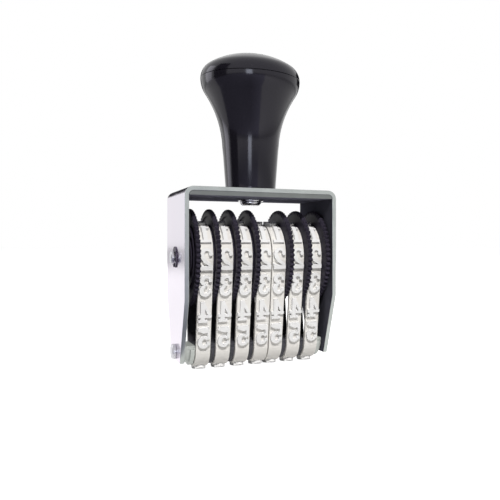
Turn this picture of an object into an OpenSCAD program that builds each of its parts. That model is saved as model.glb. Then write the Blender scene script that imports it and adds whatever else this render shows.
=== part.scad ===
// Hand-held band numbering stamp: seven rubber figure bands on thumb wheels in a bent sheet frame.
// X runs along the wheel axle, -Y is the front and +Z is up. The origin is the middle of the
// printed line on the paper, so the printing faces of the figures lie at Z = 0.

/* [Frame] */
// Height of the frame's top face over the paper
frame_h = 54.4; // [51:0.1:70]
// Depth of the side plates, front to back
frame_d = 28.5; // [26:0.1:34]
// Thickness of the frame sheet
sheet_t = 1.25; // [0.8:0.05:1.6]
// Outer radius of the two bends at the top
bend_r = 2.6; // [2:0.1:4]
// Height of the side plates' lower edge over the paper
foot_z = 3.0; // [2.4:0.1:3.4]
// Depth of the side plates at their lower edge
foot_d = 13.9; // [12:0.1:20]
// Height where the side plates start to narrow
taper_z = 22.0; // [14:0.5:27]
// Thickness of the stiffener plate under the frame's top
stiff_t = 1.35; // [0.8:0.05:1.5]

/* [Axle] */
// Distance of the axle under the frame's top face
axle_drop = 20.6; // [20.4:0.1:21.9]
// Radius of the axle
axle_r = 2.0; // [1.5:0.05:2.4]
// Length of axle that stands out of each side plate
axle_proud = 1.5; // [1.3:0.05:3]
// Outer radius of the retaining clips
clip_r = 3.3; // [3.1:0.1:4.5]
// Thickness of the retaining clips
clip_t = 0.5; // [0.3:0.05:0.6]
// Radius of the notches in the clips' rims
clip_notch_r = 0.55; // [0.3:0.05:0.7]
// Depth of the grooves that the clips sit in
groove_h = 0.45; // [0.3:0.05:0.7]
// Chamfer at the axle's ends
axle_chamfer = 0.3; // [0.1:0.05:0.6]
// Length of the spacer tube at the left end of the wheels
spacer_t = 2.0; // [0.5:0.05:4]
// Thickness of the washer at the right end of the wheels
washer_t = 0.45; // [0.3:0.05:2]
// Outer radius of the spacer tube and the washer
spacer_r = 3.8; // [3.2:0.1:5]

/* [Wheels] */
// Radius of the thumb discs over their teeth
disc_r = 14.7; // [14:0.1:15.5]
// Thickness of the thumb discs
disc_t = 1.3; // [1:0.05:2]
// Number of teeth on each thumb disc
disc_teeth = 60; // [40:1:72]
// Height of the teeth
tooth_h = 0.55; // [0.2:0.05:1]
// Depth of the ring-shaped recess in a disc's outer face
recess_h = 0.3; // [0.1:0.05:0.5]
// Width of the flat rim round the recess
rim_w = 2.2; // [1.2:0.1:4]
// Width of the flat hub inside the recess
hub_w = 1.6; // [0.5:0.1:3]
// Radius of the middle of the raised ring in the recess
ring_r = 9.4; // [8.6:0.1:10.5]
// Width of the raised ring in the recess
ring_w = 0.7; // [0.4:0.1:1.2]
// Radius of the drums that the bands run on
drum_r = 8.8; // [7.5:0.1:9.4]
// Width of the drums
drum_w = 4.5; // [4.4:0.1:6]
// Radius of the spigot that carries the disc
spigot_r = 4.6; // [3.2:0.1:6]

/* [Bands] */
// Width of the bands
band_w = 4.2; // [3.7:0.1:4.3]
// Thickness of the bands under the figures
band_t = 1.2; // [1:0.05:1.4]
// Height of the raised figures
relief = 0.9; // [0.6:0.05:1.1]
// Height of a figure
figure_h = 5.3; // [4.6:0.1:5.6]
// Width of a figure
figure_w = 3.7; // [3:0.1:3.7]
// Width of a figure's strokes
stroke = 1.1; // [0.6:0.05:1.25]
// Distance from figure to figure along the band
pitch = 7.6; // [7:0.05:7.8]
// Distance along the band from the printing figure to the next one on each side
print_gap = 12.3; // [9:0.1:12.8]

/* [Printing shoe] */
// Radius of the half-round shoe that presses the figures on the paper
shoe_r = 5.1; // [4.4:0.1:5.8]
// Height of the shoe's flat top over the middle of its round
shoe_top = 0.4; // [0.2:0.1:1.5]
// Height of the fins between the bands
fin_h = 0.8; // [0.3:0.05:1]
// How far the fins end under the middle of the shoe's round
fin_drop = 0.6; // [0.2:0.1:1.5]
// Radius of the rivets' shanks
rivet_r = 1.5; // [1:0.1:1.8]
// Radius of the rivets' heads
rivet_head_r = 2.25; // [2:0.05:2.4]
// Height of the rivets' heads
rivet_head_h = 1.2; // [0.6:0.1:1.4]
// How far the rivets lie under the middle of the shoe's round
rivet_drop = 1.6; // [1.3:0.1:2.2]
// How far the rivets reach into the shoe
rivet_depth = 3.0; // [1:0.1:6]

/* [Handle] */
// Radius of the grip at its foot
grip_r = 7.75; // [7:0.05:9]
// Slope of the grip's stem, radius gained per height
grip_slope = 0.07; // [0.04:0.01:0.1]
// Largest radius of the head
head_r = 15.4; // [14.5:0.1:17]
// Height of the head's widest circle over the grip's foot, where the cap is let in
seam_h = 34.85; // [32:0.05:40]
// Radius of the curve from the seam down
lower_r = 8.5; // [7:0.1:10]
// Radius of the hollow curve between head and stem
waist_r = 33; // [28:1:40]
// Radius of the cap's shoulder
shoulder_r = 5; // [4:0.1:6]
// Height of the cap over the seam
cap_h = 7.9; // [7:0.1:9]
// Thickness of the grip's wall
wall = 2.2; // [1.6:0.1:2.6]
// Thickness of the cap's wall
cap_wall = 1.6; // [1:0.1:2.2]
// Depth that the cap's skirt stands in the grip
skirt_h = 2.9; // [2:0.1:4]
// Radius of the handle screw's shank
screw_r = 2.0; // [1.5:0.1:2.5]
// Radius of the handle screw's head
screw_head_r = 3.3; // [3:0.1:4]
// Height of the handle screw's head
screw_head_h = 1.3; // [0.8:0.1:1.5]
// How far the handle screw reaches into the handle
screw_reach = 10; // [4:0.5:12]
// Width of the slot in the screw's head
slot_w = 0.8; // [0.5:0.05:1.2]
// Thickness of the washer under the screw's head
screw_washer_t = 0.6; // [0.4:0.05:0.8]
// Outer radius of the washer under the screw's head
screw_washer_r = 3.9; // [3.5:0.1:5]
// Outer radius of the threaded insert in the grip
insert_r = 4.0; // [3.2:0.1:4.6]
// Length of the threaded insert
insert_l = 11; // [6:0.5:13]

/* [Clearances] */
// Gap between a wheel's bore and the axle, in radius
run_fit = 0.05; // [0.02:0.01:0.09]
// Gap between fixed pieces that fit into each other, in radius
fixed_fit = 0.03; // [0.02:0.01:0.05]
// Gap between one wheel and the next along the axle
side_gap = 0.1; // [0.05:0.01:0.2]
// Gap between a drum and the inside of its band
band_gap = 0.2; // [0.15:0.01:0.3]
// Gap between the shoe and the inside of the bands
seat_gap = 0.1; // [0.05:0.01:0.15]
// Gap under the skirt of the cap and over the top of the insert
end_gap = 0.1; // [0.05:0.01:0.3]

/* [Hidden] */
$fn = 96;
WHEELS = 7;          // bands and wheels side by side
LEFT_HANDED = 4;     // the first four wheels have their disc on the left of the band
FIGURES = ["6", "5", "4", "3", "2", "1", "0"];   // up the front, from the printing figure
BACK_FIGURES = ["7", "8", "9", ".", "-"];        // up the back
eps = 0.01;

steel = [0.78, 0.80, 0.82];
black_plastic = [0.06, 0.06, 0.07];
rubber = [0.86, 0.84, 0.80];
brass = [0.80, 0.66, 0.36];

axle_z = frame_h - axle_drop;

// The wheels stand side by side between the left spacer and the right washer.
unit_w = disc_t + drum_w;
stack_w = WHEELS * unit_w + (WHEELS - 1) * side_gap;
inner_w = spacer_t + stack_w + washer_t + 2 * side_gap;
frame_w = inner_w + 2 * sheet_t;
first_x = -inner_w / 2 + spacer_t + side_gap;
function unit_x(k) = first_x + (k - 1) * (unit_w + side_gap);
function disc_x(k) = unit_x(k) + (k <= LEFT_HANDED ? 0 : drum_w);
function drum_x(k) = unit_x(k) + (k <= LEFT_HANDED ? disc_t : 0);

// A band's path: round the drum, straight down and round the shoe.
shoe_z = relief + band_t + seat_gap + shoe_r;
rivet_z = shoe_z - rivet_drop;
top_in = drum_r + band_gap;
low_in = shoe_r + seat_gap;
top_out = top_in + band_t;
low_out = low_in + band_t;
reach = axle_z - shoe_z;
lean = asin((top_in - low_in) / reach);
low_arc = low_out * (90 - lean) * PI / 180;   // from the bottom to the straight run
run_l = reach * cos(lean);
bore_r = axle_r + run_fit;
groove_r = axle_r - groove_h;
clip_x = frame_w / 2 + fixed_fit + clip_t / 2;   // middle of a clip
sink = 0.75 * band_t;    // how deep a figure's root reaches into its band

// The handle stands on the frame's top face.
stiff_z = frame_h - sheet_t - stiff_t;
waist_c = waist_centre();
cap_r = crown_radius();

/* ---------- shapes shared by several pieces ---------- */

// Extrudes a Y-Z outline along X, from x on over w.
module along_x(x, w) {
    translate([x, 0, 0])
        rotate([90, 0, 90])
            linear_extrude(w) children();
}

module x_cylinder(x, w, r) {
    translate([x, 0, 0])
        rotate([0, 90, 0])
            cylinder(h = w, r = r);
}

// Outline with two rounded upper corners, from the height low up to high.
module arch_outline(w, low, high, r) {
    translate([-w / 2, low])
        square([w, high - r - low]);
    translate([-w / 2 + r, low])
        square([w - 2 * r, high - low]);
    for (side = [-1, 1])
        translate([side * (w / 2 - r), high - r])
            circle(r);
}

// Points of an arc round a middle, from the angle a to the angle b.
belt_step = 5;
function arc_points(middle, r, a, b) = let (n = ceil((b - a) / belt_step))
    [for (i = [0 : n]) middle + r * [cos(a + i * (b - a) / n), sin(a + i * (b - a) / n)]];

// Outline of a belt round the drum and the shoe, at the radii top and low.
module belt_outline(top, low) {
    polygon(concat(
        arc_points([0, axle_z], top, -lean, 180 + lean),
        arc_points([0, shoe_z], low, 180 + lean, 360 - lean)
    ));
}

/* ---------- frame ---------- */

module side_outline() {
    polygon([
        [-foot_d / 2, foot_z],
        [foot_d / 2, foot_z],
        [frame_d / 2, taper_z],
        [frame_d / 2, frame_h + eps],
        [-frame_d / 2, frame_h + eps],
        [-frame_d / 2, taper_z]
    ]);
}

module frame() {
    color(steel)
    difference() {
        intersection() {
            along_x(-frame_w / 2, frame_w)
                side_outline();
            rotate([90, 0, 0])
                translate([0, 0, -frame_d / 2])
                    linear_extrude(frame_d)
                        difference() {
                            arch_outline(frame_w, foot_z, frame_h, bend_r);
                            arch_outline(inner_w, foot_z - 1, frame_h - sheet_t, bend_r - sheet_t);
                        }
        }
        translate([0, 0, axle_z])
            x_cylinder(-frame_w, 2 * frame_w, axle_r + fixed_fit);
        translate([0, 0, rivet_z])
            x_cylinder(-frame_w, 2 * frame_w, rivet_r + fixed_fit);
        translate([0, 0, stiff_z])
            cylinder(h = frame_h, r = screw_r + fixed_fit);
    }
}

module stiffener_plate() {
    plate_w = inner_w - 2 * fixed_fit;
    color(steel)
    difference() {
        rotate([90, 0, 0])
            translate([0, 0, -frame_d / 2])
                linear_extrude(frame_d)
                    intersection() {
                        arch_outline(plate_w, 0, frame_h - sheet_t, bend_r - sheet_t + fixed_fit);
                        translate([-plate_w / 2, stiff_z])
                            square([plate_w, stiff_t]);
                    }
        translate([0, 0, stiff_z - 1])
            cylinder(h = stiff_t + 2, r = screw_r + fixed_fit);
    }
}

/* ---------- handle ---------- */

// Centre of the hollow curve, which touches the stem's line and the head's lower curve.
// Its height is found from the touching distance between the two curves' centres.
function stem_tilt() = atan(grip_slope);
function waist_at(h) = [grip_r + grip_slope * h + waist_r * cos(stem_tilt()), h - waist_r * sin(stem_tilt())];
function head_centre() = [head_r - lower_r, seam_h];
function waist_miss(h) = norm(waist_at(h) - head_centre()) - waist_r - lower_r;
function waist_height(low, high, n) = n == 0
    ? (low + high) / 2
    : waist_miss((low + high) / 2) > 0
        ? waist_height((low + high) / 2, high, n - 1)
        : waist_height(low, (low + high) / 2, n - 1);
function waist_centre() = waist_at(waist_height(-10, seam_h - lower_r / 2, 30));
function stem_end() = waist_c - waist_r * [cos(stem_tilt()), -sin(stem_tilt())];
function curve_joint() = head_centre()
    + lower_r * (waist_c - head_centre()) / norm(waist_c - head_centre());

// Radius of the cap's crown, which runs into the shoulder without a corner.
function shoulder_x() = head_r - shoulder_r;
function crown_radius() = (pow(shoulder_x(), 2) + pow(cap_h, 2) - pow(shoulder_r, 2))
    / (2 * (cap_h - shoulder_r));

module grip_outline() {
    difference() {
        union() {
            polygon([
                [0, 0],
                [grip_r, 0],
                stem_end(),
                curve_joint(),
                [head_r, seam_h],
                [0, seam_h]
            ]);
            intersection() {
                translate(head_centre())
                    circle(lower_r);
                translate([0, seam_h - lower_r])
                    square([head_r + 1, lower_r]);
            }
        }
        translate(waist_c)
            circle(waist_r, $fn = 192);
    }
}

mouth_r = head_r - wall;            // the cap's skirt stands in the grip's mouth
hollow_low = insert_l + wall;
flare_low = seam_h - lower_r - wall;    // where the hollow widens into the head

module handle_grip() {
    color(black_plastic)
    translate([0, 0, frame_h])
        difference() {
            rotate_extrude()
                grip_outline();
            translate([0, 0, -1])
                cylinder(h = insert_l + 1, r = insert_r + fixed_fit);
            translate([0, 0, seam_h - skirt_h - end_gap])
                cylinder(h = skirt_h + 1, r = mouth_r);
            translate([0, 0, flare_low])
                cylinder(h = seam_h - skirt_h - flare_low, r1 = grip_r - wall, r2 = mouth_r - wall);
            translate([0, 0, hollow_low])
                cylinder(h = flare_low + 1 - hollow_low, r = grip_r - wall);
        }
}

module dome_outline(shoulder, crown, height) {
    intersection() {
        union() {
            translate([shoulder_x(), 0])
                circle(shoulder);
            intersection() {
                translate([0, height - crown])
                    circle(crown, $fn = 192);
                square([shoulder_x() + shoulder * shoulder_x() / (crown - shoulder), height + 1]);
            }
        }
        square([head_r + 1, height + 1]);
    }
}

module handle_cap() {
    color(black_plastic)
    translate([0, 0, frame_h + seam_h])
        difference() {
            union() {
                rotate_extrude()
                    dome_outline(shoulder_r, cap_r, cap_h);
                translate([0, 0, -skirt_h])
                    cylinder(h = skirt_h + eps, r = mouth_r - fixed_fit);
            }
            intersection() {
                union() {
                    translate([0, 0, -skirt_h - 1])
                        cylinder(h = skirt_h + 1 + eps, r = mouth_r);
                    rotate_extrude()
                        dome_outline(shoulder_r - cap_wall, cap_r - cap_wall, cap_h - cap_wall);
                }
                translate([0, 0, -skirt_h - 1])
                    cylinder(h = skirt_h + cap_h, r = mouth_r - cap_wall);
            }
        }
}

module handle_insert() {
    color(brass)
    translate([0, 0, frame_h])
        difference() {
            cylinder(h = insert_l - end_gap, r = insert_r);
            translate([0, 0, -1])
                cylinder(h = insert_l + 2, r = screw_r + fixed_fit);
        }
}

module handle_screw() {
    head_z = stiff_z - screw_washer_t - screw_head_h;
    color(steel)
    difference() {
        union() {
            translate([0, 0, head_z + screw_head_h / 2])
                cylinder(h = screw_head_h / 2, r = screw_head_r);
            translate([0, 0, head_z])
                cylinder(h = screw_head_h / 2, r1 = screw_head_r - screw_head_h / 2, r2 = screw_head_r);
            translate([0, 0, head_z])
                cylinder(h = frame_h + screw_reach - head_z, r = screw_r);
        }
        translate([-screw_head_r - 1, -slot_w / 2, head_z - 1])
            cube([2 * screw_head_r + 2, slot_w, 1 + screw_head_h / 2]);
    }
}

module screw_washer() {
    color(steel)
    translate([0, 0, stiff_z - screw_washer_t])
        difference() {
            cylinder(h = screw_washer_t, r = screw_washer_r);
            translate([0, 0, -1])
                cylinder(h = screw_washer_t + 2, r = screw_r + fixed_fit);
        }
}

/* ---------- axle ---------- */

module axle() {
    half = frame_w / 2 + axle_proud;
    color(steel)
    translate([0, 0, axle_z])
        difference() {
            union() {
                x_cylinder(-half + axle_chamfer, 2 * (half - axle_chamfer), axle_r);
                for (side = [-1, 1])
                    translate([side * (half - axle_chamfer), 0, 0])
                        rotate([0, side * 90, 0])
                            cylinder(h = axle_chamfer, r1 = axle_r, r2 = axle_r - axle_chamfer);
            }
            for (side = [-1, 1])
                translate([side * clip_x, 0, 0])
                    rotate([0, 90, 0])
                        difference() {
                            cylinder(h = clip_t + 2 * fixed_fit, r = axle_r + 1, center = true);
                            cylinder(h = clip_t + 1, r = groove_r, center = true);
                        }
        }
}

module clip(side) {
    gap_w = 2 * groove_r - 0.3;
    color(steel)
    translate([side * clip_x, 0, axle_z])
        rotate([90, 0, 90])
            translate([0, 0, -clip_t / 2])
                linear_extrude(clip_t)
                    difference() {
                        circle(clip_r);
                        circle(groove_r + fixed_fit);
                        translate([-gap_w / 2, -clip_r - 1])
                            square([gap_w, clip_r + 1]);
                        for (turn = [30, 150])
                            rotate(turn)
                                translate([clip_r, 0])
                                    circle(clip_notch_r);
                    }
}

module left_clip() clip(-1);
module right_clip() clip(1);

module axle_ring(x, w) {
    color(steel)
    translate([0, 0, axle_z])
        difference() {
            x_cylinder(x, w, spacer_r);
            x_cylinder(x - 1, w + 2, axle_r + fixed_fit);
        }
}

module left_spacer() axle_ring(-inner_w / 2, spacer_t);
module right_washer() axle_ring(inner_w / 2 - washer_t, washer_t);

/* ---------- printing shoe ---------- */

// A half-round bar along X under the height top_z, round the middle of the shoe.
module half_round(x, w, r, top_z) {
    difference() {
        translate([0, 0, shoe_z])
            x_cylinder(x, w, r);
        translate([x - 1, -r - 1, top_z])
            cube([w + 2, 2 * r + 2, 2 * r]);
    }
}

module printing_shoe() {
    shoe_w = inner_w - 2 * fixed_fit;
    color(steel)
    difference() {
        union() {
            half_round(-shoe_w / 2, shoe_w, shoe_r, shoe_z + shoe_top);
            for (k = [1 : WHEELS])
                half_round(disc_x(k), disc_t, shoe_r + fin_h, shoe_z - fin_drop);
        }
        for (side = [-1, 1])
            translate([side * shoe_w / 2, 0, rivet_z])
                rotate([0, -side * 90, 0])
                    translate([0, 0, -1])
                        cylinder(h = rivet_depth + 1 + end_gap, r = rivet_r + fixed_fit);
    }
}

module rivet(side) {
    ball_r = (pow(rivet_head_r, 2) + pow(rivet_head_h, 2)) / (2 * rivet_head_h);
    color(steel)
    translate([side * frame_w / 2, 0, rivet_z])
        rotate([0, side * 90, 0])
            union() {
                intersection() {
                    translate([0, 0, rivet_head_h - ball_r])
                        sphere(ball_r);
                    cylinder(h = rivet_head_h + 1, r = rivet_head_r);
                }
                translate([0, 0, -sheet_t - rivet_depth])
                    cylinder(h = sheet_t + rivet_depth + eps, r = rivet_r);
            }
}

module left_rivet() rivet(-1);
module right_rivet() rivet(1);

/* ---------- wheels ---------- */

// One tooth is a rise, a crest, a fall and a root along the rim.
function rim_point(i) =
    let (step = i % 4, r = step == 1 || step == 2 ? disc_r : disc_r - tooth_h)
    r * [cos(i * 90 / disc_teeth), sin(i * 90 / disc_teeth)];

module thumb_disc(k) {
    outer_x = k <= LEFT_HANDED ? disc_x(k) - eps : disc_x(k) + disc_t - recess_h;
    color(black_plastic)
    translate([0, 0, axle_z])
        difference() {
            along_x(disc_x(k), disc_t)
                polygon([for (i = [0 : 4 * disc_teeth - 1]) rim_point(i)]);
            x_cylinder(disc_x(k) - 1, disc_t + 2, spigot_r + fixed_fit);
            difference() {
                x_cylinder(outer_x, recess_h + eps, disc_r - rim_w);
                x_cylinder(outer_x - 1, recess_h + 2, spigot_r + hub_w);
                difference() {
                    x_cylinder(outer_x - 1, recess_h + 2, ring_r + ring_w / 2);
                    x_cylinder(outer_x - 2, recess_h + 4, ring_r - ring_w / 2);
                }
            }
        }
}

module drum(k) {
    color(black_plastic)
    translate([0, 0, axle_z])
        difference() {
            union() {
                x_cylinder(drum_x(k), drum_w, drum_r);
                x_cylinder(unit_x(k), unit_w, spigot_r);
            }
            x_cylinder(unit_x(k) - 1, unit_w + 2, bore_r);
        }
}

/* ---------- bands ---------- */

// Angle of the band's outward side, turned from straight down, at the distance s along its face.
function face_turn(s) = s < low_arc ? s / low_out * 180 / PI
    : s < low_arc + run_l ? 90 - lean
    : 90 - lean + (s - low_arc - run_l) / top_out * 180 / PI;
function outward(turn) = [-sin(turn), -cos(turn)];
function face_point(s) = s < low_arc ? [0, shoe_z] + low_out * outward(face_turn(s))
    : s < low_arc + run_l ? [0, shoe_z] + low_out * outward(90 - lean)
        + (s - low_arc) * [-sin(lean), cos(lean)]
    : [0, axle_z] + top_out * outward(face_turn(s));

// Puts a figure's middle on the band's face at the distance s, up the front, or up the back if s < 0.
module on_band(s) {
    side = s < 0 ? -1 : 1;
    point = face_point(abs(s));
    translate([0, side * point[0], point[1]])
        rotate([180 - side * face_turn(abs(s)), 0, 0])
            children();
}

module band(k) {
    middle_x = drum_x(k) + drum_w / 2;
    color(rubber)
    translate([middle_x, 0, 0])
        union() {
            along_x(-band_w / 2, band_w)
                difference() {
                    belt_outline(top_out, low_out);
                    belt_outline(top_in, low_in);
                }
            for (i = [0 : len(FIGURES) - 1])
                on_band(i == 0 ? 0 : print_gap + (i - 1) * pitch)
                    raised_figure(FIGURES[i]);
            for (i = [0 : len(BACK_FIGURES) - 1])
                on_band(-print_gap - i * pitch)
                    raised_figure(BACK_FIGURES[i]);
        }
}

// A figure reads backwards on the band, so that it prints the right way round.
module raised_figure(name) {
    translate([0, 0, -sink])
        linear_extrude(sink + relief)
            mirror([1, 0])
                figure_outline(name);
}

fig_r = figure_w / 2;                    // outer radius of a wide bowl
bowl_y = figure_h / 2 - fig_r;           // height of a wide bowl's middle
small_r = (figure_h + stroke) / 4;       // outer radius of the bowls of 3 and 8
small_y = small_r - stroke / 2;

// Part of a ring, from the angle a up to b.
module ring(r, a, b) {
    difference() {
        circle(r, $fn = 48);
        circle(r - stroke, $fn = 48);
        if (b - a < 360)
            polygon(concat([[0, 0]], [for (i = [0 : 4]) 2 * r * [cos(b + i * (360 + a - b) / 4),
                sin(b + i * (360 + a - b) / 4)]]));
    }
}

module bar(x, y, w, h) {
    translate([x, y])
        square([w, h]);
}

// A stroke between two points, cut level at both ends.
module slant(low, high, w) {
    polygon([low, low + [w, 0], high + [w, 0], high]);
}

module figure_outline(name) {
    half = figure_h / 2;
    if (name == "0") {
        difference() {
            stadium(fig_r);
            stadium(fig_r - stroke);
        }
    }
    if (name == "1") {
        bar(-stroke / 2, -half, stroke, figure_h);
        bar(-fig_r * 0.7, -half, fig_r * 1.4, stroke * 0.8);
        slant([-fig_r * 0.8, half - 1.9 * stroke], [-stroke / 2, half - stroke], stroke / 2);
    }
    if (name == "2") {
        translate([0, bowl_y])
            ring(fig_r, -35, 170);
        slant([-fig_r, -half + stroke / 2], [fig_r * 0.36, bowl_y - fig_r * 0.57], stroke * 1.15);
        bar(-fig_r, -half, figure_w, stroke);
    }
    if (name == "3") {
        translate([0, small_y])
            ring(small_r, -90, 160);
        translate([0, -small_y])
            ring(small_r, -160, 90);
    }
    if (name == "4") {
        bar(fig_r * 0.2, -half, stroke, figure_h);
        bar(-fig_r, -half * 0.45, figure_w, stroke);
        slant([-fig_r, -half * 0.45 + stroke / 2], [fig_r * 0.2, half], stroke);
    }
    if (name == "5") {
        translate([0, -bowl_y])
            ring(fig_r, -160, 125);
        bar(-fig_r * 0.85, half - stroke, fig_r * 1.75, stroke);
        bar(-fig_r * 0.85, -bowl_y + fig_r * 0.25, stroke * 0.9, half + bowl_y - fig_r * 0.25);
    }
    if (name == "6")
        six();
    if (name == "7") {
        bar(-fig_r, half - stroke, figure_w, stroke);
        slant([-fig_r * 0.5, -half], [fig_r - stroke, half - stroke / 2], stroke);
    }
    if (name == "8") {
        translate([0, small_y])
            ring(small_r, 0, 360);
        translate([0, -small_y])
            ring(small_r, 0, 360);
    }
    if (name == "9")
        rotate(180)
            six();
    if (name == ".")
        bar(-stroke * 0.6, -half, stroke * 1.2, stroke * 1.2);
    if (name == "-")
        bar(-fig_r * 0.8, -stroke / 2, fig_r * 1.6, stroke);
}

module stadium(r) {
    for (side = [-1, 1])
        translate([0, side * bowl_y])
            circle(r, $fn = 48);
    bar(-r, -bowl_y, 2 * r, 2 * bowl_y);
}

module six() {
    translate([0, -bowl_y])
        ring(fig_r, 0, 360);
    translate([0, bowl_y])
        ring(fig_r, 20, 180);
    bar(-fig_r, -bowl_y, stroke, 2 * bowl_y);
}

frame();
stiffener_plate();
handle_grip();
handle_cap();
handle_insert();
handle_screw();
screw_washer();
axle();
left_clip();
right_clip();
left_spacer();
right_washer();
printing_shoe();
left_rivet();
right_rivet();
thumb_disc(1);  // thumb_disc_1
thumb_disc(2);  // thumb_disc_2
thumb_disc(3);  // thumb_disc_3
thumb_disc(4);  // thumb_disc_4
thumb_disc(5);  // thumb_disc_5
thumb_disc(6);  // thumb_disc_6
thumb_disc(7);  // thumb_disc_7
drum(1);  // drum_1
drum(2);  // drum_2
drum(3);  // drum_3
drum(4);  // drum_4
drum(5);  // drum_5
drum(6);  // drum_6
drum(7);  // drum_7
band(1);  // band_1
band(2);  // band_2
band(3);  // band_3
band(4);  // band_4
band(5);  // band_5
band(6);  // band_6
band(7);  // band_7
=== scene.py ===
"""Band numbering stamp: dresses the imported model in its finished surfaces.

Rubber figure bands run over thumb wheels and a printing shoe in a bent sheet frame under a
moulded knob handle. X runs along the wheel axle, -Y is the front and +Z is up, in metres.
"""

import math

import bpy
from bpy.props import FloatProperty, FloatVectorProperty, IntProperty, PointerProperty
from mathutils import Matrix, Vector


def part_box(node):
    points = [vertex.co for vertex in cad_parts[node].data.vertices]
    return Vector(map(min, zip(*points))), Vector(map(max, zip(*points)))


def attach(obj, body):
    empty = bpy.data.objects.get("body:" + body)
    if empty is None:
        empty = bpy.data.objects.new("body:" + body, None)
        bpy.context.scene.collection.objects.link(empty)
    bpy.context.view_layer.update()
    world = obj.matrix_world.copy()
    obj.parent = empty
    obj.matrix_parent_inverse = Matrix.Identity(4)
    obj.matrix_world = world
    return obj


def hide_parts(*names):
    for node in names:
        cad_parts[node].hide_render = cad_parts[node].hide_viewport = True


bl_info = {
    "name": "Band Numbering Stamp",
    "version": (1, 0, 0),
    "blender": (4, 5, 0),
    "location": "View3D > Sidebar > Stamp",
    "description": "Builds the finished pieces of a hand-held band numbering stamp",
    "category": "Object",
}

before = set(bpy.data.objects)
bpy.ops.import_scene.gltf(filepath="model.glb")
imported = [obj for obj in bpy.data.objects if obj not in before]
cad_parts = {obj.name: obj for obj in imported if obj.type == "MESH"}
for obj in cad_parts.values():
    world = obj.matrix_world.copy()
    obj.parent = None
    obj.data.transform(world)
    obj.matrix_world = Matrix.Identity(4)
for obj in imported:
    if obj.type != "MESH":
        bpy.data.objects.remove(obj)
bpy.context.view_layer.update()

MM = 0.001
WELD = 0.004 * MM           # points closer than this become one
CAD_WELD = 0.002 * MM       # the same on a copy of a CAD node
FRAME_BODY = "frame"
WHEELS = 7
LEFT_HANDED = 4             # the first four discs lie on the left of their band
# Figures up the front of a band, from the printing one, and up its back.
FRONT_FIGURES = ("6", "5", "4", "3", "2", "1", "0")
BACK_FIGURES = ("7", "8", "9", ".", "-")


def middle(node):
    """The middle of a CAD node's box."""
    low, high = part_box(node)
    return (low + high) / 2


def size(node):
    low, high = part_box(node)
    return high - low


AXLE_Z = middle("axle").z
DRUM_R = size("drum_1").z / 2
HANDLE_FOOT_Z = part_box("handle_grip")[0].z
SEAM_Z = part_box("handle_grip")[1].z
HANDLE_TOP_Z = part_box("handle_cap")[1].z
HEAD_R = size("handle_grip").x / 2


def length(name, description, default_mm):
    """A property that holds a length, given here in millimetres."""
    return FloatProperty(
        name=name, description=description, default=default_mm * MM, min=0.0, unit="LENGTH", precision=5
    )


def colour(name, description, default):
    return FloatVectorProperty(
        name=name, description=description, default=default, size=3, min=0.0, max=1.0, subtype="COLOR"
    )


class StampHandleSizes(bpy.types.PropertyGroup):
    foot_r: length("Foot radius", "Radius of the grip where it stands on the frame", 7.75)
    slope: FloatProperty(
        name="Stem slope", description="Radius that the stem gains per height", default=0.07, min=0.0
    )
    waist_r: length("Waist radius", "Radius of the hollow curve between stem and head", 33.0)
    lower_r: length("Lower radius", "Radius of the curve under the seam", 8.5)
    shoulder_r: length("Shoulder radius", "Radius of the cap's shoulder", 5.0)
    wall: length("Wall", "Thickness of the moulded wall", 2.2)
    skirt: length("Skirt", "Depth of the cap's skirt in the grip", 2.9)
    bore_r: length("Bore radius", "Radius of the bore that holds the insert", 4.03)
    bore_depth: length("Bore depth", "Depth of the bore that holds the insert", 11.0)
    foot_round: length("Foot rounding", "Radius of the grip's lower edge", 0.5)
    seam_w: length("Seam width", "Width of the groove between grip and cap", 0.22)
    seam_depth: length("Seam depth", "Depth of the groove between grip and cap", 0.16)
    turns: IntProperty(name="Steps", description="Steps of the turned surface", default=160, min=24)


class StampBandSizes(bpy.types.PropertyGroup):
    width: length("Width", "Width of a band", 4.2)
    thickness: length("Thickness", "Thickness of a band under its figures", 1.2)
    relief: length("Relief", "Height of the raised figures", 0.9)
    figure_h: length("Figure height", "Height of a figure at its root", 6.4)
    figure_w: length("Figure width", "Width of a figure at its root", 4.2)
    slope: length("Wall slope", "How far a figure's walls spread from face to root", 0.08)
    root: length("Root", "How deep a figure is sunk in its band", 0.4)
    pitch: length("Pitch", "Distance from figure to figure", 7.81)
    print_gap: length("Printing gap", "Distance from the printing figure to its neighbours", 13.05)
    drum_gap: length("Drum gap", "Gap between drum and band", 0.2)
    seat_gap: length("Shoe gap", "Gap between shoe and band", 0.1)
    shoe_r: length("Shoe radius", "Radius of the printing shoe", 5.1)
    step: length("Step", "Length of the band's facets along its run", 0.55)


class StampDiscSizes(bpy.types.PropertyGroup):
    teeth: IntProperty(name="Teeth", description="Number of teeth on a disc", default=60, min=12)
    tooth_h: length("Tooth height", "Height of the rounded teeth", 1.0)
    bore_r: length("Bore radius", "Radius of the hole over the drum's spigot", 4.63)
    rim: length("Rim", "Width of the flat rim", 2.2)
    recess: length("Recess", "Depth of the recess in the outer face", 0.3)
    hub_r: length("Hub radius", "Radius of the flat hub", 6.2)
    ring_r: length("Ring radius", "Radius of the raised ring in the recess", 9.4)
    ring_w: length("Ring width", "Width of the raised ring", 0.7)
    chamfer: length("Chamfer", "Width of the broken edges of the teeth", 0.4)


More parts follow.
